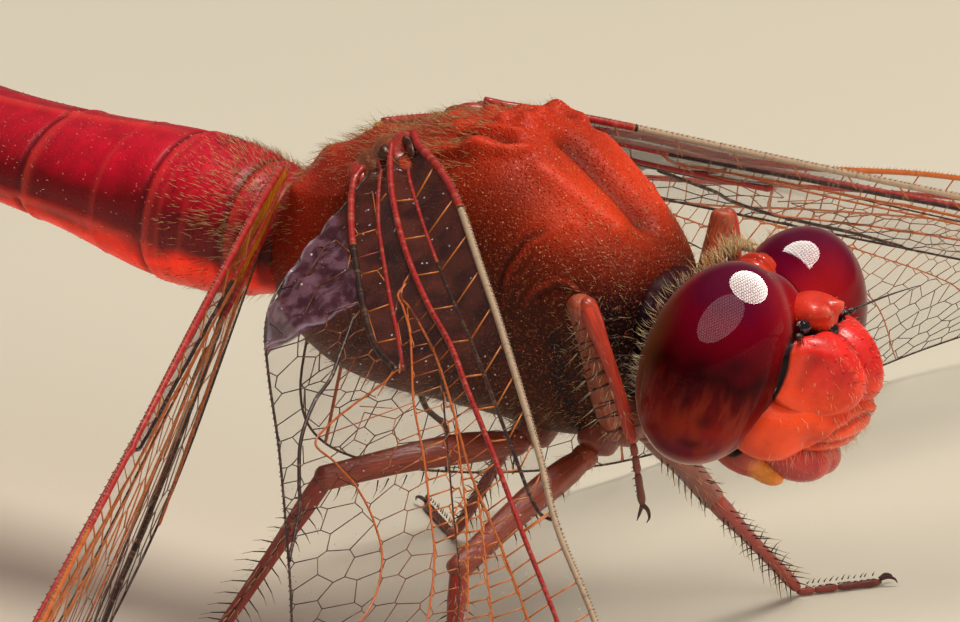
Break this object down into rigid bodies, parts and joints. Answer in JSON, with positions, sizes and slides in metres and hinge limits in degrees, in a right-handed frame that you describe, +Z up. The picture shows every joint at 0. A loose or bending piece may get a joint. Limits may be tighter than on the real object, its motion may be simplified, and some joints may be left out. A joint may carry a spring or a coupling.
{
  "type": "male scarlet dragonfly, life-size still model",
  "caption": "Perched scarlet dragonfly with forward-drooped clear wings, big wine-red eyes, flat red abdomen and spiny red-brown legs.",
  "frame": {"origin": "middle of the underside of the bounding box, on the floor that the four standing feet rest on", "axes": "+X towards the head, +Y to the animal's left, +Z up"},
  "size_m": [0.0516, 0.0578, 0.0139],
  "materials": {
    "compound_eye": "glossy, deep wine red above and greyish purple below",
    "face_shell": "satin scarlet with paler ridges",
    "mouthpart_shell": "satin rose red, yellow orange below",
    "dark_shell": "dull blackish purple",
    "feeler": "black bristle",
    "thorax_shell": "satin vermilion, maroon low on the sides, fine pits",
    "abdomen_shell": "satin crimson",
    "leg_shell": "satin red brown",
    "wing_membrane": "clear glossy film with red to black veins, amber at the hind base"
  },
  "bodies": {
    "root": {"eye_left": "compound_eye", "eye_right": "compound_eye", "vertex": "face_shell", "frons": "face_shell", "clypeus": "face_shell", "labrum": "mouthpart_shell", "labium": "mouthpart_shell", "head_capsule": "dark_shell", "antenna_left": "feeler", "antenna_right": "feeler", "thorax": "thorax_shell", "prothorax": "dark_shell", "abdomen_01": "abdomen_shell", "abdomen_02": "abdomen_shell", "abdomen_03": "abdomen_shell", "abdomen_04": "abdomen_shell", "abdomen_05": "abdomen_shell", "abdomen_06": "abdomen_shell", "abdomen_07": "abdomen_shell", "abdomen_08": "abdomen_shell", "abdomen_09": "abdomen_shell", "abdomen_10": "abdomen_shell", "cercus_left": "abdomen_shell", "cercus_right": "abdomen_shell", "epiproct": "abdomen_shell", "wing_fore_left": "wing_membrane", "wing_hind_left": "wing_membrane", "wing_fore_right": "wing_membrane", "wing_hind_right": "wing_membrane", "leg_fore_right_coxa": "leg_shell", "leg_fore_right_femur": "leg_shell", "leg_fore_right_tibia": "leg_shell", "leg_fore_right_tarsus": "leg_shell", "leg_fore_left_coxa": "leg_shell", "leg_fore_left_femur": "leg_shell", "leg_fore_left_tibia": "leg_shell", "leg_fore_left_tarsus": "leg_shell", "leg_middle_right_coxa": "leg_shell", "leg_middle_right_femur": "leg_shell", "leg_middle_right_tibia": "leg_shell", "leg_middle_right_tarsus": "leg_shell", "leg_middle_left_coxa": "leg_shell", "leg_middle_left_femur": "leg_shell", "leg_middle_left_tibia": "leg_shell", "leg_middle_left_tarsus": "leg_shell", "leg_hind_right_coxa": "leg_shell", "leg_hind_right_femur": "leg_shell", "leg_hind_right_tibia": "leg_shell", "leg_hind_right_tarsus": "leg_shell", "leg_hind_left_coxa": "leg_shell", "leg_hind_left_femur": "leg_shell", "leg_hind_left_tibia": "leg_shell", "leg_hind_left_tarsus": "leg_shell"}
  },
  "joints": []
}
